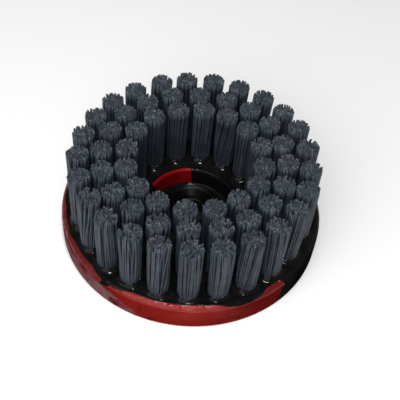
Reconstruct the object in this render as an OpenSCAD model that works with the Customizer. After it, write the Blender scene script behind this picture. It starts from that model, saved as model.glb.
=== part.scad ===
// Potted disc brush for wheel and surface cleaning.
// A shallow moulded dish holds three rings of bristle tufts in poured resin.
// A steel hub with an M14 thread is moulded into the dish floor.
// Frame: origin at the centre of the back face, +Z towards the bristle tips, millimetres.

/* [Dish] */
// Outer diameter of the dish
dish_d = 110; // [106:1:130]
// Height of the dish wall
dish_h = 12; // [11:0.5:16]
// Thickness of the dish floor
floor_t = 3; // [2.5:0.5:4]
// Thickness of the outer wall, which is also the rounding of its lip
wall_t = 2.3; // [1.8:0.1:3]
// Inner diameter of the well in the middle
well_d = 36; // [34:0.5:37]
// Thickness of the sleeve round the well
sleeve_t = 2; // [1.4:0.2:2]

/* [Hub] */
// Diameter of the hub boss that stands in the well
hub_d = 26.8; // [24:0.2:29]
// Height of the hub from the back face
hub_h = 7.5; // [6.5:0.5:10]
// Nominal diameter of the spindle thread
thread_d = 14; // [10:1:16]
// Diameter of the flange that the dish floor grips
flange_d = 32; // [31:0.5:33]

/* [Resin] */
// Depth of the resin surface below the top of the dish wall
resin_drop = 0.3; // [0.2:0.1:1]

/* [Tufts] */
// Tufts in the outer ring
outer_count = 25; // [18:1:27]
// Tufts in the middle ring
middle_count = 20; // [14:1:20]
// Tufts in the inner ring, placed in pairs
inner_count = 16; // [8:2:16]
// Distance from the dish's edge to the centre of the outer ring
ring_inset = 8; // [7.5:0.1:8.5]
// Distance between neighbouring rings
ring_pitch = 9.5; // [9.3:0.1:9.6]
// Diameter of a tuft where it enters the resin
tuft_d = 8.6; // [7.5:0.1:8.8]
// Diameter of a tuft at its cut tips
tip_d = 9.2; // [8:0.1:9.2]
// Free length of the bristles above the dish
trim_l = 28; // [15:1:40]
// Direction of the first outer tuft, degrees from +X
outer_phase = 13.4; // [0:0.1:20]
// Direction of the first middle tuft, degrees from +X
middle_phase = 1.1; // [0:0.1:20]
// Direction of the first inner tuft, degrees from +X
inner_phase = 19.4; // [0:0.1:20]

/* [Hidden] */
$fn = 96;
// Cut past a face, so that a hole is open
over = 1;
// Bond line between the resin and what it holds
bond = 0.05;
// Chamfers: the hub's thread mouths and the dish's bottom edge
mouth_c = 0.6;
edge_c = 0.5;
// Shallow turned recess in the hub's front face, and the lip round it
recess_t = 0.5;
lip_w = 1.1;
// The flange lies within the dish floor, with material below it
flange_z = 0.8;
flange_t = 1.2;

dish_r = dish_d / 2;
well_r = well_d / 2;
hub_r = hub_d / 2;
thread_r = thread_d / 2;
sleeve_r = well_r + sleeve_t;
sleeve_top = dish_h - sleeve_t / 2;
trough_r = dish_r - wall_t;
resin_top = dish_h - resin_drop;
tip_z = dish_h + trim_l;
face_z = hub_h - recess_t;
outer_r = dish_r - ring_inset;
middle_r = outer_r - ring_pitch;
inner_r = middle_r - ring_pitch;
pair_count = inner_count / 2;

function two(n) = n < 10 ? str("0", n) : str(n);
function outer_name(i) = str("outer_tuft_", two(i));
function middle_name(i) = str("middle_tuft_", two(i));
function inner_name(i) = str("inner_tuft_pair_", two(i));
function place(i, count, phase) = phase + (i - 1) * 360 / count;

// A ring between two radii, standing on z = 0
module ring(inside, outside, height) {
    difference() {
        cylinder(r = outside, h = height);
        translate([0, 0, -over]) cylinder(r = inside, h = height + 2 * over);
    }
}

// A round bar bent into a ring, centred on z = 0
module torus(middle, tube) {
    rotate_extrude() translate([middle, 0]) circle(r = tube);
}

// The outside of the hub: boss and buried flange
module hub_body() {
    cylinder(r = hub_r, h = hub_h);
    translate([0, 0, flange_z]) cylinder(d = flange_d, h = flange_t);
}

// Dish: floor, outer wall with a rounded lip, and the sleeve round the well
module dish() {
    color([0.45, 0.03, 0.04])
    difference() {
        union() {
            cylinder(r1 = dish_r - edge_c, r2 = dish_r, h = edge_c);
            translate([0, 0, edge_c]) cylinder(r = dish_r, h = floor_t - edge_c);
            translate([0, 0, floor_t]) ring(trough_r, dish_r, dish_h - wall_t - floor_t);
            translate([0, 0, dish_h - wall_t]) lip();
            translate([0, 0, floor_t]) ring(well_r, sleeve_r, sleeve_top - floor_t);
            translate([0, 0, sleeve_top]) torus(well_r + sleeve_t / 2, sleeve_t / 2);
        }
        hub_body();
        translate([0, 0, -over]) cylinder(r = hub_r, h = floor_t + over);
    }
}

// Quarter-round lip on top of the outer wall
module lip() {
    difference() {
        torus(trough_r, wall_t);
        translate([0, 0, -dish_h]) cylinder(r = trough_r, h = 2 * dish_h);
        translate([0, 0, -dish_h]) cylinder(r = dish_r + over, h = dish_h);
    }
}

// Steel hub: boss, flange, recessed face and the spindle hole
module threaded_hub() {
    color([0.2, 0.2, 0.21])
    difference() {
        hub_body();
        translate([0, 0, face_z]) cylinder(r = hub_r - lip_w, h = recess_t + over);
        translate([0, 0, -over]) cylinder(r = thread_r, h = hub_h + 2 * over);
        cylinder(r1 = thread_r + mouth_c, r2 = thread_r, h = mouth_c);
        translate([0, 0, face_z - mouth_c])
            cylinder(r1 = thread_r, r2 = thread_r + mouth_c, h = mouth_c);
    }
}

// Resin poured round the tufts, with one socket for each
module potting_resin() {
    color([0.03, 0.03, 0.035])
    difference() {
        translate([0, 0, floor_t])
            ring(sleeve_r + bond, trough_r - bond, resin_top - floor_t);
        sockets(outer_r, outer_count, outer_phase);
        sockets(middle_r, middle_count, middle_phase);
        sockets(inner_r, inner_count, inner_phase);
    }
}

module sockets(radius, count, phase) {
    for (i = [1:count])
        rotate([0, 0, place(i, count, phase)])
        translate([radius, 0, floor_t - over])
        cylinder(r = tuft_d / 2 + bond, h = dish_h + over);
}

// One tuft: a bundle of straight bristles, bonded at its root and a little wider at its tips
module tuft(radius, angle) {
    color([0.2, 0.22, 0.25])
    rotate([0, 0, angle]) translate([radius, 0, floor_t]) {
        cylinder(d = tuft_d, h = dish_h - floor_t);
        translate([0, 0, dish_h - floor_t]) cylinder(d1 = tuft_d, d2 = tip_d, h = trim_l);
    }
}

module outer_tuft(i) {
    tuft(outer_r, place(i, outer_count, outer_phase));
}

module middle_tuft(i) {
    tuft(middle_r, place(i, middle_count, middle_phase));
}

// Two neighbouring tufts of the inner ring
module inner_tuft_pair(i) {
    for (k = [2 * i - 1, 2 * i]) tuft(inner_r, place(k, inner_count, inner_phase));
}

dish();
threaded_hub();
potting_resin();
for (i = [1:outer_count]) outer_tuft(i);
for (i = [1:middle_count]) middle_tuft(i);
for (i = [1:pair_count]) inner_tuft_pair(i);
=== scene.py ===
"""Looks of the potted disc brush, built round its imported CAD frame.

Shapes and the camera's place are in millimetres until Blender gets them. Materials, lights
and the stage are in metres. Angles are in degrees unless a name ends in _rad, and azimuth 0
is +X and 90 is +Y.
"""

import math
import random

import bpy
from mathutils import Matrix, Vector, geometry, noise


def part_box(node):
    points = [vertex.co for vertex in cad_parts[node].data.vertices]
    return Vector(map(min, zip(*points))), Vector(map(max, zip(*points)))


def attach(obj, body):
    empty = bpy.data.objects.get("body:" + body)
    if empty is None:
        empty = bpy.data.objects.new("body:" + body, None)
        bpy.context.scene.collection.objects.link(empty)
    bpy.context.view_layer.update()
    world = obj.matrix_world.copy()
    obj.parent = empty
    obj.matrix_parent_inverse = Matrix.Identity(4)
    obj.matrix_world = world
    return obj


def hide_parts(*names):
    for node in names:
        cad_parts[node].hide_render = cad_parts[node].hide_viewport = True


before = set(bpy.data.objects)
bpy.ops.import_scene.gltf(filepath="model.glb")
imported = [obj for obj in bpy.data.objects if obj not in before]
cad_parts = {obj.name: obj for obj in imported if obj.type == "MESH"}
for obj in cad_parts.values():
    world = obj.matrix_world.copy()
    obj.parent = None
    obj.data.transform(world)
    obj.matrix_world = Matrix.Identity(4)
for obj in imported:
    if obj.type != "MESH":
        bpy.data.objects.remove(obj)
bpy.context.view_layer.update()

MM = 0.001
BODY = "root"


# ---------------------------------------------------------------- sizes, from the frame

def box_mm(node):
    low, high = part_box(node)
    return low / MM, high / MM


DISH_TOP = box_mm("dish")[1]
RESIN_LOW, RESIN_HIGH = box_mm("potting_resin")
HUB_TOP = box_mm("threaded_hub")[1]

DISH_R = round(max(DISH_TOP.x, DISH_TOP.y), 1)
DISH_H = DISH_TOP.z
FLOOR_Z = RESIN_LOW.z
RESIN_Z = RESIN_HIGH.z
WALL = round(DISH_R - max(RESIN_HIGH.x, RESIN_HIGH.y), 1)
TROUGH_R = DISH_R - WALL
FLANGE_R = round(HUB_TOP.x, 1)
HUB_H = HUB_TOP.z

# Sizes that no box gives, as part.scad has them
WELL_R = 18.0
SLEEVE = 2.0
HUB_R = 13.4
THREAD_R = 7.0
MOUTH = 0.6
FLANGE_Z = (0.8, 2.0)
EDGE = 0.5
RECESS = 0.5
HUB_LIP = 1.1
BOND = 0.05
ROOT_SHARE = 8.6 / 9.2
SLEEVE_R = WELL_R + SLEEVE
SLEEVE_MID = WELL_R + SLEEVE / 2
SLEEVE_Z = DISH_H - SLEEVE / 2

TUFT_NODES = sorted(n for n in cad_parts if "_tuft_" in n)
PAIRS = sum(n.startswith("inner") for n in TUFT_NODES)


def tuft_centres(node):
    """The axes of a node's tufts, in the plane of the back face."""
    low, high = box_mm(node)
    middle = (low + high).to_2d() / 2
    if not node.startswith("inner"):
        return [middle]
    step = Vector((-middle.y, middle.x)) * math.tan(math.pi / (2 * PAIRS))
    return [middle - step, middle + step]


TUFT_LOW, TUFT_HIGH = box_mm("outer_tuft_01")
TIP_R = (TUFT_HIGH.x - TUFT_LOW.x) / 2
ROOT_R = TIP_R * ROOT_SHARE
TIP_Z = TUFT_HIGH.z
CENTRES = [c for n in TUFT_NODES for c in tuft_centres(n)]


# ---------------------------------------------------------------- camera

# The photograph's view: elevation, distance from the point looked at, roll and lens
VIEW_ELEVATION = 48.93
VIEW_DISTANCE = 340.84
VIEW_ROLL = 5.34
VIEW_TARGET = Vector((3.50, 11.37, 0.0))
LENS = 68.25
SENSOR = 36


def make_camera():
    camera = bpy.data.objects.new("camera", bpy.data.cameras.new("camera"))
    bpy.context.scene.collection.objects.link(camera)
    elevation_rad = math.radians(VIEW_ELEVATION)
    back = Vector((0, -math.cos(elevation_rad), math.sin(elevation_rad)))
    place = Matrix.Translation((VIEW_TARGET + back * VIEW_DISTANCE) * MM)
    aim = back.to_track_quat("Z", "Y").to_matrix().to_4x4()
    camera.matrix_world = place @ aim @ Matrix.Rotation(math.radians(VIEW_ROLL), 4, "Z")
    camera.data.lens = LENS
    camera.data.sensor_width = SENSOR
    camera.data.clip_start = 0.01
    bpy.context.scene.camera = camera


make_camera()


# ---------------------------------------------------------------- materials

def socket(sockets, identifier):
    """The socket with that identifier, for nodes whose sockets share their names."""
    return next(s for s in sockets if s.identifier == identifier)


class Look:
    """A material in the making: its node tree, its shader and short ways to add nodes."""

    def __init__(self, name):
        self.material = bpy.data.materials.new(name)
        self.material.use_nodes = True
        self.nodes = self.material.node_tree.nodes
        self.link = self.material.node_tree.links.new
        self.shader = self.nodes["Principled BSDF"]
        self.place = self.add("TexCoord").outputs["Object"]

    def add(self, kind, **values):
        """A node. Each value is one of its properties, or the number on the input so named."""
        node = self.nodes.new("ShaderNode" + kind)
        for key, value in values.items():
            if hasattr(node, key):
                setattr(node, key, value)
            else:
                node.inputs[key.replace("_", " ")].default_value = value
        return node

    def set(self, name, value):
        """Sets a number or colour on the shader itself."""
        self.shader.inputs[name].default_value = value

    def feed(self, name, output):
        """Links an output to the shader's input."""
        self.link(output, self.shader.inputs[name])

    def noise(self, scale, detail=3.0, roughness=0.5):
        node = self.add("TexNoise", Scale=scale, Detail=detail, Roughness=roughness)
        self.link(self.place, node.inputs["Vector"])
        return node.outputs["Fac"]

    def tone(self):
        """The number that each filament carries, about 0.5."""
        return self.add("Attribute", attribute_name="tone").outputs["Fac"]

    def split(self):
        """The place's X, Y and Z."""
        node = self.add("SeparateXYZ")
        self.link(self.place, node.inputs[0])
        return [node.outputs[axis] for axis in "XYZ"]

    def length(self, vector):
        node = self.add("VectorMath", operation="LENGTH")
        self.link(vector, node.inputs[0])
        return node.outputs["Value"]

    def towards(self, azimuth, drop):
        """How far a point lies out towards an azimuth, less drop times its height."""
        node = self.add("VectorMath", operation="DOT_PRODUCT")
        self.link(self.place, node.inputs[0])
        azimuth_rad = math.radians(azimuth)
        node.inputs[1].default_value = (math.cos(azimuth_rad), math.sin(azimuth_rad), -drop)
        return node.outputs["Value"]

    def calculate(self, operation, first, second):
        node = self.add("Math", operation=operation)
        self.link(first, node.inputs[0])
        self.link(second, node.inputs[1])
        return node.outputs[0]

    def rescale(self, value, start, end, to=(0.0, 1.0), curve="LINEAR"):
        """Maps the range from start to end onto the range to, and clamps it there."""
        node = self.add("MapRange", interpolation_type=curve,
                        From_Min=start, From_Max=end, To_Min=to[0], To_Max=to[1])
        self.link(value, node.inputs["Value"])
        return node.outputs["Result"]

    def ramp(self, value, stops):
        """A colour ramp on value. Each stop is (position, grey) or (position, (r, g, b))."""
        node = self.add("ValToRGB")
        elements = node.color_ramp.elements
        while len(elements) < len(stops):
            elements.new(0.5)
        for element, (position, colour) in zip(elements, stops):
            element.position = position
            rgb = colour if isinstance(colour, tuple) else (colour,) * 3
            element.color = (*rgb, 1)
        self.link(value, node.inputs["Fac"])
        return node.outputs["Color"]

    def mix(self, blend, factor, first, second):
        """A colour mix. The factor is a number or an output."""
        node = self.add("Mix", data_type="RGBA", blend_type=blend)
        if isinstance(factor, float):
            node.inputs["Factor"].default_value = factor
        else:
            self.link(factor, node.inputs["Factor"])
        self.link(first, socket(node.inputs, "A_Color"))
        self.link(second, socket(node.inputs, "B_Color"))
        return socket(node.outputs, "Result_Color")

    def bump(self, height, strength, distance, below=None):
        """Bumps the shader's surface, on top of the bump below if one is given."""
        node = self.add("Bump", Strength=strength, Distance=distance)
        self.link(height, node.inputs["Height"])
        if below:
            self.link(below, node.inputs["Normal"])
        self.feed("Normal", node.outputs["Normal"])
        return node.outputs["Normal"]


def bristle_material():
    """Dark blue-grey nylon filled with abrasive grit, each filament a little different."""
    look = Look("abrasive_nylon")
    grit = look.noise(2600, detail=2, roughness=0.6)
    shade = look.calculate("ADD", look.tone(), grit)
    shade = look.calculate("MULTIPLY", shade, look.noise(160))
    look.feed("Base Color", look.ramp(shade, [
        (0.18, (0.022, 0.028, 0.038)), (0.5, (0.038, 0.048, 0.064)), (0.85, (0.066, 0.080, 0.102))]))
    look.feed("Roughness", look.ramp(grit, [(0.3, 0.38), (0.7, 0.62)]))
    look.set("Specular IOR Level", 0.25)
    look.bump(grit, strength=0.5, distance=0.00006)
    return look.material


def cut_tip_material():
    """The cut ends: rougher and paler, with grit grains showing, each a little different."""
    look = Look("abrasive_nylon_cut")
    grit = look.noise(4200, detail=2, roughness=0.7)
    shade = look.calculate("MULTIPLY", grit, look.noise(420, detail=2))
    shade = look.calculate("MULTIPLY", shade, look.rescale(look.tone(), 0.0, 1.0, to=(0.6, 1.4)))
    look.feed("Base Color", look.ramp(shade, [
        (0.12, (0.012, 0.015, 0.020)), (0.26, (0.036, 0.044, 0.056)), (0.42, (0.125, 0.14, 0.16))]))
    look.set("Roughness", 0.75)
    look.set("Specular IOR Level", 0.25)
    look.bump(grit, strength=0.8, distance=0.0001)
    return look.material


def resin_material(name, gloss, smeared):
    """Black poured resin with a faint skin of dust, smeared with brown of that brightness."""
    look = Look(name)
    skin = look.noise(90, detail=4)
    dust = look.ramp(look.noise(1500, detail=2, roughness=0.7), [
        (0.5, (0.0035, 0.0035, 0.004)), (0.75, (0.006, 0.006, 0.007)), (0.88, (0.02, 0.02, 0.02))])
    brown = (smeared, smeared * 0.85, smeared * 0.75)
    smear = look.ramp(skin, [(0.42, (0.0, 0.0, 0.0)), (0.68, brown)])
    look.feed("Base Color", look.mix("ADD", 1.0, dust, smear))
    look.feed("Roughness", look.ramp(skin, [(0.35, 0.04), (0.7, 0.11)]))
    look.set("Specular IOR Level", gloss)
    look.bump(look.noise(260, detail=2), strength=0.1, distance=0.0002)
    return look.material


# Azimuths of the middle of the scuffs and painted reflection on the dish's wall, and of its
# most brightly lit part, away from which the flanks get painted shade
SCUFF_AND_REFLECTION_AZIMUTH = -139
LIT_AZIMUTH = -96


def scuffs_and_reflection(look, colour):
    """The colour with scuffs and greyish patches of painted reflection low on one side of the
    dish's wall, broken up by noise.
    """
    patch = look.noise(75, detail=4, roughness=0.6)
    where = look.rescale(look.towards(SCUFF_AND_REFLECTION_AZIMUTH, drop=1.0), 0.0435, 0.0475)
    amount = look.ramp(look.calculate("MULTIPLY", where, patch), [(0.08, 0.0), (0.42, 0.9)])
    # The grey and grey-green stops are painted reflection; the dark, purple and pink stops are scuffs
    tint = look.ramp(patch, [
        (0.38, (0.03, 0.012, 0.012)), (0.45, (0.15, 0.03, 0.05)), (0.51, (0.13, 0.085, 0.08)),
        (0.57, (0.12, 0.10, 0.085)), (0.63, (0.17, 0.05, 0.07))])
    return look.mix("MIX", amount, colour, tint)


def painted_light_and_shade(look, colour, flank_shade, top_light):
    """The colour with painted light, brightened towards the top of the lip by the given factor,
    and with painted shade, darkened by the given share away from the most brightly lit side."""
    # painted light: the top of the lip is brightened by the given factor
    height = look.rescale(look.split()[2], (DISH_H - WALL) * MM, (DISH_H - 0.3) * MM)
    colour = look.mix("MULTIPLY", 1.0, colour, look.ramp(height, [(0.0, 1.0), (1.0, top_light)]))
    # painted shade: the flanks darken away from the most brightly lit side
    towards_lit = look.rescale(look.towards(LIT_AZIMUTH, drop=0.0), 0.045, 0.0535)
    return look.mix("MULTIPLY", 1.0, colour, look.ramp(towards_lit, [(0.0, flank_shade), (1.0, 1.0)]))


def dish_material(name, red, gloss, ripple, flank_shade, top_light):
    """Red moulding with dull patches and pale patches of painted sheen, smears of black resin,
    painted shade on the flanks, painted light on the lip's top, scuffs with painted reflection,
    fine orange peel and flow marks of strength ripple."""
    look = Look(name)
    smear = look.noise(140, detail=5, roughness=0.65)
    dull = tuple(0.75 * c for c in red)
    # Pale patches, whitened in green and blue, are painted sheen standing in for soft highlights
    pale_sheen = (1.2 * red[0], 2.2 * red[1], 2.2 * red[2])
    mottled = look.ramp(look.noise(55), [(0.3, dull), (0.55, red), (0.75, pale_sheen)])
    stain = look.ramp(smear, [(0.30, 0.25), (0.40, 1.0)])
    stained = look.mix("MULTIPLY", 1.0, mottled, stain)
    look.feed("Base Color", scuffs_and_reflection(look, painted_light_and_shade(look, stained, flank_shade, top_light)))
    look.feed("Roughness", look.ramp(smear, [(0.4, 0.42), (0.6, 0.15)]))
    look.set("Specular IOR Level", gloss)
    peel = look.bump(look.noise(700, detail=2), strength=0.3, distance=0.0002)
    look.bump(look.noise(260, detail=1), strength=ripple, distance=0.0007, below=peel)
    return look.material


def hub_material(name, tone, roughness, anisotropy):
    """Dark steel with fine turned rings round the axis and a patchy oxide."""
    look = Look(name)
    x, y, _ = look.split()
    flat = look.add("CombineXYZ")
    look.link(x, flat.inputs["X"])
    look.link(y, flat.inputs["Y"])
    rings = look.add("TexNoise", noise_dimensions="1D", Scale=5200.0, Detail=2.0)
    look.link(look.length(flat.outputs[0]), rings.inputs["W"])
    patina = look.noise(180, detail=4)
    look.feed("Base Color", look.ramp(patina, [
        (0.3, (tone * 0.75, tone * 0.73, tone * 0.71)), (0.7, (tone * 1.3, tone * 1.27, tone * 1.23))]))
    look.feed("Roughness", look.ramp(patina, [(0.3, roughness * 1.1), (0.7, roughness * 0.9)]))
    grain = look.add("Tangent", direction_type="RADIAL", axis="Z")
    look.feed("Tangent", grain.outputs["Tangent"])
    look.set("Anisotropic", anisotropy)
    look.set("Anisotropic Rotation", 0.25)
    look.set("Metallic", 1.0)
    look.bump(rings.outputs["Fac"], strength=0.35, distance=0.00004)
    return look.material


BRISTLE = bristle_material()
CUT_TIP = cut_tip_material()
RESIN = resin_material("black_resin", gloss=0.09, smeared=0.004)
RESIN_FILM = resin_material("black_resin_film", gloss=0.0, smeared=0.006)
WORN_RED = (0.19, 0.011, 0.009)
DEEP_RED = (0.27, 0.004, 0.005)
# The share on the flanks is painted shade, and the brightening of the lip's top is painted light
RED = dish_material("red_moulding", WORN_RED, gloss=0.0, ripple=0.4, flank_shade=0.56, top_light=1.0)
RED_LIP = dish_material("red_moulding_lip", WORN_RED, gloss=0.2, ripple=1.2, flank_shade=0.5, top_light=1.3)
RED_WELL = dish_material("red_moulding_well", DEEP_RED, gloss=0.05, ripple=0.4, flank_shade=1.0, top_light=1.0)
TURNED_STEEL = hub_material("turned_steel", tone=0.018, roughness=0.3, anisotropy=0.95)
RIM_STEEL = hub_material("burnished_steel", tone=0.022, roughness=0.3, anisotropy=0.2)
# The thread's steel is painted near black: painted shade in the bore
THREAD_STEEL = hub_material("oiled_thread_steel", tone=0.006, roughness=0.45, anisotropy=0.0)


# ---------------------------------------------------------------- mesh helpers

def add_piece(name, verts, faces, materials, nodes):
    """A mesh piece from points in millimetres, smooth shaded, riding on the brush."""
    mesh = bpy.data.meshes.new(name)
    mesh.from_pydata([Vector(v) * MM for v in verts], [], faces)
    mesh.polygons.foreach_set("use_smooth", [True] * len(mesh.polygons))
    for material in materials:
        mesh.materials.append(material)
    mesh.update()
    piece = bpy.data.objects.new(name, mesh)
    bpy.context.scene.collection.objects.link(piece)
    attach(piece, BODY)
    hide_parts(*nodes)
    return piece


def sharpen(piece, angle):
    """Marks edges sharper than angle, so that corners of turned shapes stay crisp."""
    piece.data.set_sharp_from_angle(angle=math.radians(angle))


def around(r, azimuth_rad, z):
    """The point at height z that lies r from the axis, out towards the azimuth."""
    return r * math.cos(azimuth_rad), r * math.sin(azimuth_rad), z


def circle_rad(count):
    """Azimuths of so many even steps round the axis."""
    return [2 * math.pi * k / count for k in range(count)]


def ring_points(count, radius):
    return [Vector(around(radius, azimuth_rad, 0)[:2]) for azimuth_rad in circle_rad(count)]


def arc(centre_r, centre_z, radius, start, end, steps):
    """Points (r, z) along a circular arc, both ends included."""
    angles = [math.radians(start + (end - start) * k / steps) for k in range(steps + 1)]
    return [(centre_r + radius * math.cos(a), centre_z + radius * math.sin(a)) for a in angles]


def line(start, end, steps):
    """Points (r, z) along a straight line, without its end."""
    return [tuple(s + (e - s) * k / steps for s, e in zip(start, end)) for k in range(steps)]


def turn(profile, count, shape):
    """Points and faces of a closed profile turned about Z. shape moves a point by azimuth."""
    verts, faces = [], []
    for azimuth_rad in circle_rad(count):
        for r, z in profile:
            r, z = shape(azimuth_rad, r, z)
            verts.append(around(r, azimuth_rad, z))
    size = len(profile)
    for i in range(count):
        here, there = i * size, (i + 1) % count * size
        for k in range(size):
            after = (k + 1) % size
            faces.append((here + k, there + k, there + after, here + after))
    return verts, faces


def ring_noise(azimuth_rad, scale, seed):
    """Smooth noise from -1 to 1 that closes on itself round the axis."""
    return noise.noise(Vector(around(scale, azimuth_rad, seed)))


# ---------------------------------------------------------------- dish

DISH_SIDES = 360
# Rounding at the foot of the well's wall
WELL_FILLET = 0.6
# How far the moulding's rim is from true, outwards and upwards
RIM_WANDER = 0.05
LIP_WANDER = 0.07
# Faces of the lip whose normals point upwards by more than this are its top
LIP_NORMAL = 0.25
# Height of the first row of points below the resin's surface
BURIED_Z = DISH_H * 0.9


def dish_profile():
    """Section of the dish, anticlockwise from the hub seat's lower corner."""
    low, top = FLANGE_Z
    points = line((HUB_R, 0), (DISH_R - EDGE, 0), 6)
    points += [(DISH_R - EDGE, 0), (DISH_R, EDGE)]
    points += line((DISH_R, EDGE * 1.2), (DISH_R, DISH_H - WALL), 5)
    points += arc(TROUGH_R, DISH_H - WALL, WALL, 0, 90, 12)
    points += [(TROUGH_R, BURIED_Z), (TROUGH_R, FLOOR_Z), (SLEEVE_R, FLOOR_Z)]
    points += arc(SLEEVE_MID, SLEEVE_Z, SLEEVE / 2, 0, 180, 14)
    points += line((WELL_R, SLEEVE_Z - 0.3), (WELL_R, FLOOR_Z + WELL_FILLET), 4)
    points += arc(WELL_R - WELL_FILLET, FLOOR_Z + WELL_FILLET, WELL_FILLET, 0, -90, 5)
    points += [(HUB_R, FLOOR_Z), (HUB_R, top), (FLANGE_R, top), (FLANGE_R, low), (HUB_R, low)]
    return points


def dish_shape(azimuth_rad, r, z):
    """The moulding isn't perfectly true: its rim wanders."""
    if r > TROUGH_R and z > EDGE:
        r += RIM_WANDER * ring_noise(azimuth_rad, 2.5, seed=3.1)
    if z > DISH_H - WALL:
        z += LIP_WANDER * ring_noise(azimuth_rad, 3.5, seed=7.7)
    return r, z


def make_dish():
    verts, faces = turn(dish_profile(), DISH_SIDES, dish_shape)
    reds = [RED, RED_LIP, RED_WELL]
    piece = add_piece("dish_shell", verts, faces, reds, ["dish"])
    for face in piece.data.polygons:
        if face.center.to_2d().length < SLEEVE_R * MM:
            face.material_index = reds.index(RED_WELL)
        elif face.normal.z > LIP_NORMAL and face.center.z > (DISH_H - WALL) * MM:
            face.material_index = reds.index(RED_LIP)
    sharpen(piece, 40)


# ---------------------------------------------------------------- hub

HUB_SIDES = 192
THREAD_PITCH = 2.0
THREAD_DEPTH = 1.08
# Rows of points in one turn of the thread
THREAD_ROWS = 14
# How steeply the ridge's flanks rise, where they end, and the length of its run-out
THREAD_SLOPE = 4.6
THREAD_CREST = 1.6
THREAD_FADE = 0.7
# Roundings of the hub's front: in the corner of its recess, and on the bead of its lip
COVE = 0.5
BEAD = 0.4


def thread_radius(azimuth_rad, z):
    """Wall radius of the spindle thread: a helical ridge with flat crests and roots."""
    turns = (z / THREAD_PITCH - azimuth_rad / (2 * math.pi)) % 1
    ridge = min(1.0, max(0.0, THREAD_CREST - abs(turns - 0.5) * THREAD_SLOPE))
    from_below = max(0.0, (z - MOUTH) / THREAD_FADE)
    from_above = max(0.0, (HUB_H - RECESS - MOUTH - z) / THREAD_FADE)
    return THREAD_R - THREAD_DEPTH * ridge * min(1.0, from_below, from_above)


def hub_profile():
    """Section of the hub, anticlockwise: laid out from the bore upwards, and then reversed."""
    low, top = FLANGE_Z
    face = HUB_H - RECESS
    past_mouth = THREAD_R + MOUTH + 0.1
    cove_r = HUB_R - HUB_LIP - COVE
    rows = int((face - 2 * MOUTH) / THREAD_PITCH * THREAD_ROWS)
    points = [(THREAD_R + MOUTH, 0)]
    points += line((THREAD_R, MOUTH), (THREAD_R, face - MOUTH), rows)
    points += [(THREAD_R, face - MOUTH), (THREAD_R + MOUTH, face)]
    points += line((past_mouth, face), (cove_r, face), 6)
    points += arc(cove_r, face + COVE, COVE, -90, -10, 4)
    points += arc(HUB_R - HUB_LIP / 2, HUB_H - BEAD, BEAD, 170, 10, 8)
    points += [(HUB_R, HUB_H - 0.9), (HUB_R, top), (FLANGE_R, top), (FLANGE_R, low), (HUB_R, low)]
    points += line((HUB_R, 0), (past_mouth, 0), 4)
    return points[::-1]


def hub_shape(azimuth_rad, r, z):
    """Cuts the thread: only the points of the bore's wall move."""
    if math.isclose(r, THREAD_R):
        r = thread_radius(azimuth_rad, z)
    return r, z


def make_hub():
    verts, faces = turn(hub_profile(), HUB_SIDES, hub_shape)
    steels = [TURNED_STEEL, RIM_STEEL, THREAD_STEEL]
    piece = add_piece("hub_insert", verts, faces, steels, ["threaded_hub"])
    for face in piece.data.polygons:
        r = face.center.to_2d().length / MM
        # The bore's faces get the steel painted near black, painted shade
        if r < THREAD_R + MOUTH:
            face.material_index = steels.index(THREAD_STEEL)
        elif r > HUB_R - HUB_LIP - 0.6:
            face.material_index = steels.index(RIM_STEEL)
    sharpen(piece, 35)


# ---------------------------------------------------------------- resin

# Thickness of the film where resin ran over the moulding, how deep its edge is bedded, and
# the rows of points over its reach
FILM = 0.13
BEDDED = 0.03
FILM_ROWS = 24
# Where the overrun film reaches right down: its first and last azimuth, anticlockwise
OUTSIDE_BLACK = (-43.0, 166.0)
WELL_BLACK = (157.0, 94.5)
# Tongues of resin on the red part of the lip: azimuth, half width, reach in millimetres
TONGUES = [(-48.5, 5.5, -0.4), (-64.0, 13.0, 2.4), (-122.0, 12.0, 1.7), (-124.5, 3.0, 2.4),
           (-154.0, 5.0, 0.6), (-177.0, 7.0, 1.1)]
# The film drifts this far clockwise by the time it reaches the bottom of the wall
DRIFT = 4.5
# The rise of the resin at a tuft, the length over which it falls away, and how far the open
# surface lies below its nominal level
CREEP_H = 1.9
CREEP_L = 1.8
CREEP_SINK = 0.25
# The ragged height to which it wicks up between the filaments, and the width of that strip
WICK_H = 0.9
WICK_REACH = 0.35
# The width over which the surface rises to the lip
LIP_RISE = 1.3
# Rings of points round each tuft, as shares of its radius, and the sides of each ring
CREEP_RINGS = (0.3, 0.55, 0.75, 0.88, 1.0, 1.08, 1.17, 1.26, 1.35, 1.44, 1.54)
RING_SIDES = 44
# Spacing of the points between the tufts, and their least distance from rings and edges
FILL_STEP = 0.85
FILL_GAP = 0.35
RING_GAP = 0.2
EDGE_GAP = 0.3
# Points along the surface's outer and inner edges
OUTER_SIDES = 720
INNER_SIDES = 360
# The resin spilt on the well's floor: distance from what it leans on, and rise
SPILL = [(0.04, 1.1), (0.12, 0.95), (0.3, 0.75), (0.6, 0.52), (1.1, 0.36), (1.8, 0.3)]
SPILL_SIDES = 180

# The angle round the sleeve's rounded rim at which the poured surface meets it
RIM_CONTACT = math.degrees(math.asin((RESIN_Z - SLEEVE_Z) / (SLEEVE / 2)))
# Radii of the surface's two edges
INNER_EDGE_R = SLEEVE_MID + SLEEVE / 2 * math.cos(math.radians(RIM_CONTACT))
OUTER_EDGE_R = TROUGH_R - 0.1
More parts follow.
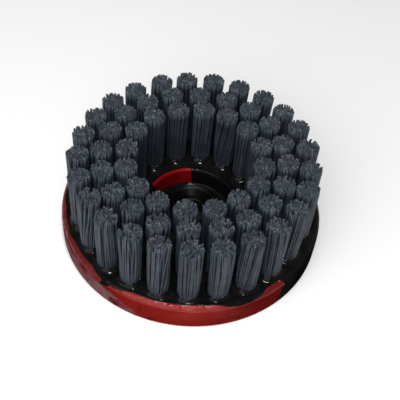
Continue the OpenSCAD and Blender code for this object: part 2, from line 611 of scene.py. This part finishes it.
# Lengths along the moulding, from the resin's edge: over the lip, over the sleeve's rim, and
# from either down to where the film ends at most
LIP_BEND = WALL * math.pi / 2
SLEEVE_BEND = SLEEVE / 2 * math.radians(180 - RIM_CONTACT)
WELL_DROP = SLEEVE_Z - FLOOR_Z - WELL_FILLET
LIP_FULL = LIP_BEND + DISH_H - WALL - EDGE - 0.1
SLEEVE_FULL = SLEEVE_BEND + WELL_DROP + WELL_FILLET * math.pi / 2 + WELL_R - WELL_FILLET - HUB_R - 0.1


def lip_point(reach, offset):
    """(r, z) on the dish's lip and outer wall, reach millimetres from the resin, offset off it."""
    if reach < LIP_BEND:
        bend_rad = reach / WALL
        lip = WALL + offset
        return TROUGH_R + lip * math.sin(bend_rad), DISH_H - WALL + lip * math.cos(bend_rad)
    return DISH_R + offset, DISH_H - WALL - (reach - LIP_BEND)


def sleeve_point(reach, offset):
    """(r, z) on the sleeve's rim, the well's wall, its fillet or its floor, as lip_point."""
    if reach < SLEEVE_BEND:
        bend_rad = math.radians(RIM_CONTACT) + reach / (SLEEVE / 2)
        rim = SLEEVE / 2 + offset
        return SLEEVE_MID + rim * math.cos(bend_rad), SLEEVE_Z + rim * math.sin(bend_rad)
    down = reach - SLEEVE_BEND
    if down < WELL_DROP:
        return WELL_R - offset, SLEEVE_Z - down
    along = down - WELL_DROP
    bend_rad = along / WELL_FILLET
    if bend_rad < math.pi / 2:
        fillet = WELL_FILLET - offset
        return (WELL_R - WELL_FILLET + fillet * math.cos(bend_rad),
                FLOOR_Z + WELL_FILLET - fillet * math.sin(bend_rad))
    return WELL_R - WELL_FILLET * (1 - math.pi / 2) - along, FLOOR_Z + offset


def turned_by(azimuth, start):
    """Degrees from start anticlockwise to azimuth, from 0 to 360."""
    return (azimuth - start) % 360


def window(azimuth, span, softness):
    """1 inside the span of azimuths, 0 outside, with a ramp of that many degrees."""
    width = turned_by(span[1], span[0])
    inside = turned_by(azimuth, span[0])
    depth = min(inside, width - inside) if inside < width else -min(inside - width, 360 - inside)
    return min(1.0, max(0.0, 0.5 + depth / softness))


def lip_reach(azimuth_rad):
    """How far the film reaches over the lip at an azimuth."""
    azimuth = math.degrees(azimuth_rad)
    ragged = azimuth + ring_noise(azimuth_rad, 9, seed=2.2) + 0.5 * ring_noise(azimuth_rad, 40, seed=5.5)
    short = 0.35 + 0.3 * ring_noise(azimuth_rad, 6, seed=9.1) + 0.2 * ring_noise(azimuth_rad, 30, seed=1.3)
    for middle, half, reach in TONGUES:
        away = min(1.0, abs((ragged - middle + 180) % 360 - 180) / half)
        short += reach * (1 - away ** 3) ** 2
    short = max(0.15, short)
    full = LIP_FULL + min(0.0, 1.2 * ring_noise(azimuth_rad, 6, seed=4.4))
    return short + (full - short) * window(ragged, OUTSIDE_BLACK, 1.5)


def sleeve_reach(azimuth_rad):
    """How far the film reaches over the sleeve into the well at an azimuth."""
    ragged = math.degrees(azimuth_rad) + 1.2 * ring_noise(azimuth_rad, 8, seed=6.2)
    short = 0.5 + 0.2 * ring_noise(azimuth_rad, 6, seed=8.8)
    return short + (SLEEVE_FULL - short) * window(ragged, WELL_BLACK, 2.0)


def tuft_seed(i):
    return random.Random(1000 + i)


# The rise and the length of each tuft's meniscus
CREEP = [(CREEP_H * tuft_seed(i).uniform(0.85, 1.15), CREEP_L * tuft_seed(i + 500).uniform(0.9, 1.1))
         for i in range(len(CENTRES))]


def resin_height(x, y):
    """Height of the poured surface: gentle waves, and a rise against every tuft and the lip."""
    z = RESIN_Z - CREEP_SINK + 0.12 * noise.noise(Vector((x * 0.11, y * 0.11, 4.0)))
    z += 0.05 * noise.noise(Vector((x * 0.45, y * 0.45, 9.0)))
    risen = 0.0
    for i, centre in enumerate(CENTRES):
        dx, dy = x - centre.x, y - centre.y
        gap = math.hypot(dx, dy) - ROOT_R
        if gap > 5 * CREEP_L:
            continue
        height, length = CREEP[i]
        height *= 1 + 0.15 * ring_noise(math.atan2(dy, dx), 1.6, seed=i * 3.7)
        risen += (height * math.exp(-max(gap, 0.0) / length)) ** 4
        if gap < WICK_REACH:
            wick = WICK_H * noise.noise(Vector((x * 1.3, y * 1.3, i * 2.0)))
            z += wick * min(1.0, (WICK_REACH - gap) / WICK_REACH)
    z += risen ** 0.25
    near_lip = max(0.0, 1 - (OUTER_EDGE_R - math.hypot(x, y)) / LIP_RISE)
    near_lip *= near_lip * (3 - 2 * near_lip)
    return z + (DISH_H + FILM - z) * near_lip


def is_clear(point, own, radius):
    """Whether a point keeps off both edges and so far from every tuft's axis but its own."""
    if not INNER_EDGE_R + EDGE_GAP <= point.length <= OUTER_EDGE_R - EDGE_GAP:
        return False
    others = (centre for j, centre in enumerate(CENTRES) if j != own)
    return all((point - other).length >= radius + RING_GAP for other in others)


def surface_points():
    """Points of the poured surface: both edges first, then rings round the tufts, then a fill."""
    points = ring_points(OUTER_SIDES, OUTER_EDGE_R) + ring_points(INNER_SIDES, INNER_EDGE_R)
    for i, centre in enumerate(CENTRES):
        points.append(centre.copy())
        for share in CREEP_RINGS:
            radius = ROOT_R * share
            sides = RING_SIDES if share > 0.8 else RING_SIDES // 2
            ring = [centre + p for p in ring_points(sides, radius)]
            points += [p for p in ring if is_clear(p, i, radius)]
    row_step = FILL_STEP * math.sqrt(3) / 2
    rows = int(OUTER_EDGE_R / row_step) + 1
    for row in range(-rows, rows + 1):
        for column in range(-rows, rows + 1):
            point = Vector(((column + 0.5 * (row % 2)) * FILL_STEP, row * row_step))
            if is_clear(point, None, ROOT_R * CREEP_RINGS[-1] + FILL_GAP):
                points.append(point)
    return points


def poured_surface():
    """Points and triangles of the poured surface, and the points along its two edges."""
    flat = surface_points()
    edges = [(k, (k + 1) % OUTER_SIDES) for k in range(OUTER_SIDES)]
    edges += [(OUTER_SIDES + (k + 1) % INNER_SIDES, OUTER_SIDES + k) for k in range(INNER_SIDES)]
    found, _, triangles, origins, _, _ = geometry.delaunay_2d_cdt(flat, edges, [], 1, 1e-5)
    if len(found) != len(flat):
        raise RuntimeError("two points of the resin surface fell together")
    place = {source[0]: k for k, source in enumerate(origins)}
    outer = [place[k] for k in range(OUTER_SIDES)]
    inner = [place[OUTER_SIDES + k] for k in range(INNER_SIDES)]
    well = set(inner)
    verts = [(p.x, p.y, resin_height(p.x, p.y)) for p in found]
    faces = [tuple(t) for t in triangles if not well.issuperset(t)]
    return verts, faces, outer, inner


def film_rings(reach_at, point_at, count):
    """Rings of points over the film, out to its edge, and back under it."""
    shares = [((k + 1) / FILM_ROWS) ** 1.5 for k in range(FILM_ROWS)]
    offsets = [(share, FILM * (1 - share ** 5) + 0.012 * (1 - share)) for share in shares]
    offsets += [(share, -BEDDED) for share in reversed(shares[:-1])] + [(0.0, -BEDDED)]
    for share, offset in offsets:
        ring = []
        for azimuth_rad in circle_rad(count):
            down = reach_at(azimuth_rad) * share
            uneven = 1 + 0.5 * ring_noise(azimuth_rad, 12, seed=share * 3)
            r, z = point_at(down, offset * uneven if offset > 0 else offset)
            drifted_rad = azimuth_rad - math.radians(DRIFT) * (down / LIP_FULL) ** 2
            drifted_rad += math.radians(1.8) * noise.noise(Vector((down * 0.5, 7.7, 2.0)))
            ring.append(around(r, drifted_rad, z))
        yield ring


def bury(verts, faces, edge, reach_at, point_at, buried, inward):
    """Continues the surface from its edge over the moulding as a film, back under it and down
    along the points buried. Returns the lowest ring."""
    rings = list(film_rings(reach_at, point_at, len(edge)))
    rings += [[around(r, azimuth_rad, z) for azimuth_rad in circle_rad(len(edge))] for r, z in buried]
    upper = edge
    for ring in rings:
        lower = range(len(verts), len(verts) + len(ring))
        verts += ring
        for k in range(len(ring)):
            after = (k + 1) % len(ring)
            face = (upper[k], lower[k], lower[after], upper[after])
            faces.append(face[::-1] if inward else face)
        upper = lower
    return upper


def close_floor(faces, outer, inner):
    """Joins the two lowest rings with a flat floor."""
    step = OUTER_SIDES // INNER_SIDES
    for k in range(INNER_SIDES):
        after = (k + 1) % INNER_SIDES
        far = [outer[(k * step + j) % OUTER_SIDES] for j in range(step + 1)]
        faces.append((inner[after], *reversed(far), inner[k]))


def spill_profile():
    """Section of the resin that gathered on the floor of the well, round the hub."""
    points = [(HUB_R + 0.02, FLOOR_Z - BEDDED), (WELL_R - 0.02, FLOOR_Z - BEDDED)]
    points += [(WELL_R - gap, FLOOR_Z + rise) for gap, rise in SPILL]
    points += [(HUB_R + gap, FLOOR_Z + rise * 0.8) for gap, rise in reversed(SPILL[2:])]
    return points


def spill_shape(azimuth_rad, r, z):
    """The spill is a little uneven in height."""
    if z > FLOOR_Z:
        z += (z - FLOOR_Z) * 0.25 * ring_noise(azimuth_rad, 5, seed=3.3)
    return r, z


def make_resin():
    """The fill, one closed solid of poured surface, films and buried sides, and the spill."""
    verts, faces, outer, inner = poured_surface()
    trough_side = [(OUTER_EDGE_R, BURIED_Z), (OUTER_EDGE_R, FLOOR_Z)]
    sleeve_side = [(SLEEVE_R + BOND, SLEEVE_Z - 0.5), (SLEEVE_R + BOND, FLOOR_Z)]
    outer_foot = bury(verts, faces, outer, lip_reach, lip_point, trough_side, False)
    inner_foot = bury(verts, faces, inner, sleeve_reach, sleeve_point, sleeve_side, True)
    close_floor(faces, outer_foot, inner_foot)
    spill_verts, spill_faces = turn(spill_profile(), SPILL_SIDES, spill_shape)
    faces += [tuple(k + len(verts) for k in face) for face in spill_faces]
    verts += spill_verts
    resins = [RESIN, RESIN_FILM]
    piece = add_piece("resin_fill", verts, faces, resins, ["potting_resin"])
    for face in piece.data.polygons:
        if face.center.to_2d().length / MM > DISH_R - 0.4:
            face.material_index = resins.index(RESIN_FILM)


make_dish()
make_hub()
make_resin()


# ---------------------------------------------------------------- bristles

FILAMENT_R = 0.435
FILAMENT_RINGS = 5
FILAMENT_SIDES = 6
FILAMENT_STOPS = (0.0, 0.22, 0.42, 0.6, 0.78, 0.91, 1.0)
FILAMENT_ROOT_Z = FLOOR_Z + 1.0
# The share of a filament that stays straight in the resin, and where its end begins to splay
HELD = 0.22
SPLAY_FROM = 0.85
# How far the mean tip lies below the tuft's CAD solid
TRIM = 0.15
# How far tufts are swept to +X at the very back: those of the outer ring, and the others
OUTER_SWEEP = 1.2
INNER_SWEEP = -0.3
OUTER_RING_SHARE = 0.75
# Spread of the tufts' lean at their tips, and mean and spread of their twist
TUFT_LEAN = 0.2
TUFT_TWIST = (6, 16)
# Spread of the filaments' places, leans, bows, splays, twists, lengths, tones and cuts
PLACE_SPREAD = 0.06
LEAN_SPREAD = 0.08
BOW_SPREAD = 0.17
SPLAY_SPREAD = 0.1
TWIST_SPREAD = 11
LENGTH_SPREAD = 0.09
TONE_SPREAD = 0.2
CUT_SPREAD = 0.16
# How far neighbouring filaments lean together, and how many stray, by which factor
CLUMP = 0.45
STRAY_SHARE = 0.05
STRAY = 2.2


def scatter(dice, spread):
    """A random step in the plane."""
    return Vector((dice.gauss(0, spread), dice.gauss(0, spread)))


def filament_roots(dice):
    """Closely packed places in a tuft, in slightly untidy rings."""
    roots = [scatter(dice, 0.05)]
    for ring in range(1, FILAMENT_RINGS + 1):
        radius = (ROOT_R - FILAMENT_R) * ring / FILAMENT_RINGS
        start_rad = dice.uniform(0, 2 * math.pi)
        for step_rad in circle_rad(6 * ring):
            place = Vector(around(radius, start_rad + step_rad, 0)[:2])
            roots.append(place + scatter(dice, PLACE_SPREAD))
    return roots


def tuft_lean(dice, centre):
    """How far a tuft's tips stand from over its root: those at the back are swept a little."""
    sweep = OUTER_SWEEP if centre.length > OUTER_RING_SHARE * DISH_R else INNER_SWEEP
    swept = sweep * max(0.0, centre.y / DISH_R)
    return Vector((swept + dice.gauss(0, TUFT_LEAN), dice.gauss(0, TUFT_LEAN)))


def untidiness(centre):
    """1 for the tufts in front, less for those at the back, which are cut and packed more neatly."""
    return 0.72 - 0.28 * max(-1.0, min(1.0, 1.6 * centre.y / DISH_R))


def plane_noise(place, seed):
    """Smooth noise from -1 to 1 in both directions of the plane. It is made of noise.noise,
    because the values of noise.noise_vector differ from run to run."""
    return Vector([noise.noise(Vector((place.x, place.y, seed + layer))) for layer in (0, 40)])


def filament_path(dice, centre, root, seed, twist_rad, tuft_tip):
    """Points up one filament: it flares, twists and leans with its neighbours and bows a little."""
    flare = TIP_R / ROOT_R - 1
    loose = untidiness(centre)
    clump = plane_noise(root * 0.4, seed) * CLUMP * loose
    stray = STRAY * loose if dice.random() < STRAY_SHARE else loose
    lean = scatter(dice, LEAN_SPREAD) * stray
    bow = scatter(dice, BOW_SPREAD) * stray
    splay = scatter(dice, SPLAY_SPREAD) * loose
    twist_rad += math.radians(dice.gauss(0, TWIST_SPREAD)) * stray
    tip = TIP_Z - TRIM + dice.gauss(0, LENGTH_SPREAD) * loose
    points = []
    for share in FILAMENT_STOPS:
        rise = max(0.0, share - HELD) / (1 - HELD)
        side = Matrix.Rotation(twist_rad * rise, 2) @ root * (1 + flare * rise)
        side += (lean + clump + tuft_tip) * rise + bow * math.sin(math.pi * rise)
        side += splay * max(0.0, share - SPLAY_FROM) / (1 - SPLAY_FROM)
        z = FILAMENT_ROOT_Z + (tip - FILAMENT_ROOT_Z) * share
        points.append((centre.x + side.x, centre.y + side.y, z))
    return points


class Bundle:
    """The mesh of many filaments: points with a tone each, faces, and which faces are cut ends."""

    def __init__(self):
        self.verts = []
        self.tones = []
        self.faces = []
        self.cuts = []

    def add_filament(self, points, dice):
        """A thin rod along points with a slightly slanted cut end."""
        first = len(self.verts)
        radius = FILAMENT_R * dice.uniform(0.95, 1.05)
        start_rad = dice.uniform(0, math.pi)
        tone = dice.gauss(0.5, TONE_SPREAD)
        slant = scatter(dice, CUT_SPREAD)
        for x, y, z in points:
            for side_rad in circle_rad(FILAMENT_SIDES):
                dx, dy, _ = around(radius, start_rad + side_rad, 0)
                dz = slant.x * dx + slant.y * dy if (x, y, z) == points[-1] else 0.0
                self.verts.append((x + dx, y + dy, z + dz))
                self.tones.append(tone)
        last = len(self.verts) - FILAMENT_SIDES
        for ring in range(first, last, FILAMENT_SIDES):
            for j in range(FILAMENT_SIDES):
                a, b = ring + j, ring + (j + 1) % FILAMENT_SIDES
                self.faces.append((a, b, b + FILAMENT_SIDES, a + FILAMENT_SIDES))
        self.faces.append(tuple(reversed(range(first, first + FILAMENT_SIDES))))
        self.cuts.append(len(self.faces))
        self.faces.append(tuple(range(last, last + FILAMENT_SIDES)))


def make_bristles(node, seed):
    """The bundle, or the two bundles, of filaments that stand for one CAD node."""
    dice = random.Random(seed)
    bundle = Bundle()
    for centre in tuft_centres(node):
        twist_rad = math.radians(dice.gauss(*TUFT_TWIST))
        tuft_tip = tuft_lean(dice, centre)
        for root in filament_roots(dice):
            path = filament_path(dice, centre, root, seed * 1.7 + centre.x, twist_rad, tuft_tip)
            bundle.add_filament(path, dice)
    name = "bristles_" + node.replace("_tuft", "")
    nylons = [BRISTLE, CUT_TIP]
    piece = add_piece(name, bundle.verts, bundle.faces, nylons, [node])
    mesh = piece.data
    mesh.attributes.new("tone", "FLOAT", "POINT").data.foreach_set("value", bundle.tones)
    for face in bundle.cuts:
        mesh.polygons[face].material_index = nylons.index(CUT_TIP)
        mesh.polygons[face].use_smooth = False


for number, name in enumerate(TUFT_NODES):
    make_bristles(name, number + 1)


# ---------------------------------------------------------------- stage and light

# The photo shows nothing bright through the bore, so the floor under it is painted dark, a
# painted shade, and turns pale over a narrow ring
SHADE_R = THREAD_R + 0.6
SHADE_EDGE = 0.4
# The floor is a square of this half side, a hair below the brush
FLOOR_HALF = 4.0
FLOOR_DROP = 0.00005
# The near lamps don't reach the far floor, so it glows between these distances to stay pale
GLOW_FROM = 0.25
GLOW_TO = 1.3
GLOW = 0.68
# Brightness of the surroundings: what lights the brush, and what the camera sees
DIM = 0.28
PALE = 0.93


def make_floor():
    mesh = bpy.data.meshes.new("floor")
    corners = [(-1, -1), (1, -1), (1, 1), (-1, 1)]
    mesh.from_pydata([(x * FLOOR_HALF, y * FLOOR_HALF, 0) for x, y in corners], [], [(0, 1, 2, 3)])
    floor = bpy.data.objects.new("floor", mesh)
    bpy.context.scene.collection.objects.link(floor)
    floor.location.z = -FLOOR_DROP
    look = Look("pale_floor")
    from_axis = look.length(look.place)
    # painted shade: the floor is painted near black under the bore
    beyond_bore = look.rescale(from_axis, SHADE_R * MM, (SHADE_R + SHADE_EDGE) * MM)
    look.feed("Base Color", look.ramp(beyond_bore, [(0.0, 0.015), (1.0, 0.95)]))
    glow = look.rescale(from_axis, GLOW_FROM, GLOW_TO, to=(0.0, GLOW), curve="SMOOTHSTEP")
    look.feed("Emission Strength", glow)
    look.set("Emission Color", (1, 1, 1, 1))
    look.set("Roughness", 0.9)
    look.set("Specular IOR Level", 0.1)
    mesh.materials.append(look.material)


def make_lamp(name, distance, azimuth, from_zenith, half_angle, radiance):
    """A round lamp facing the origin from a distance, half_angle wide as seen from there."""
    data = bpy.data.lights.new(name, "AREA")
    data.shape = "DISK"
    radius = distance * math.tan(math.radians(half_angle))
    data.size = 2 * radius
    data.energy = radiance * math.pi * math.pi * radius ** 2
    lamp = bpy.data.objects.new(name, data)
    bpy.context.scene.collection.objects.link(lamp)
    tilt_rad = math.radians(from_zenith)
    towards = Vector(around(math.sin(tilt_rad), math.radians(azimuth), math.cos(tilt_rad)))
    aim = towards.to_track_quat("Z", "Y").to_matrix().to_4x4()
    lamp.matrix_world = Matrix.Translation(towards * distance) @ aim


def make_world():
    """Pale where the camera looks past the floor, dim for what the gloss mirrors."""
    world = bpy.data.worlds.new("studio")
    bpy.context.scene.world = world
    world.use_nodes = True
    nodes, link = world.node_tree.nodes, world.node_tree.links.new
    dim = nodes["Background"]
    dim.inputs["Color"].default_value = (DIM, DIM, DIM, 1)
    pale = nodes.new("ShaderNodeBackground")
    pale.inputs["Color"].default_value = (PALE, PALE, PALE, 1)
    path = nodes.new("ShaderNodeLightPath")
    mix = nodes.new("ShaderNodeMixShader")
    link(path.outputs["Is Camera Ray"], mix.inputs["Fac"])
    link(dim.outputs[0], mix.inputs[1])
    link(pale.outputs[0], mix.inputs[2])
    link(mix.outputs[0], nodes["World Output"].inputs["Surface"])


make_floor()
make_world()
make_lamp("softbox", distance=0.55, azimuth=-114, from_zenith=47, half_angle=29, radiance=2.6)
make_lamp("lamp", distance=0.9, azimuth=-68, from_zenith=8, half_angle=3.8, radiance=98.0)
bpy.context.scene.view_settings.view_transform = "Standard"
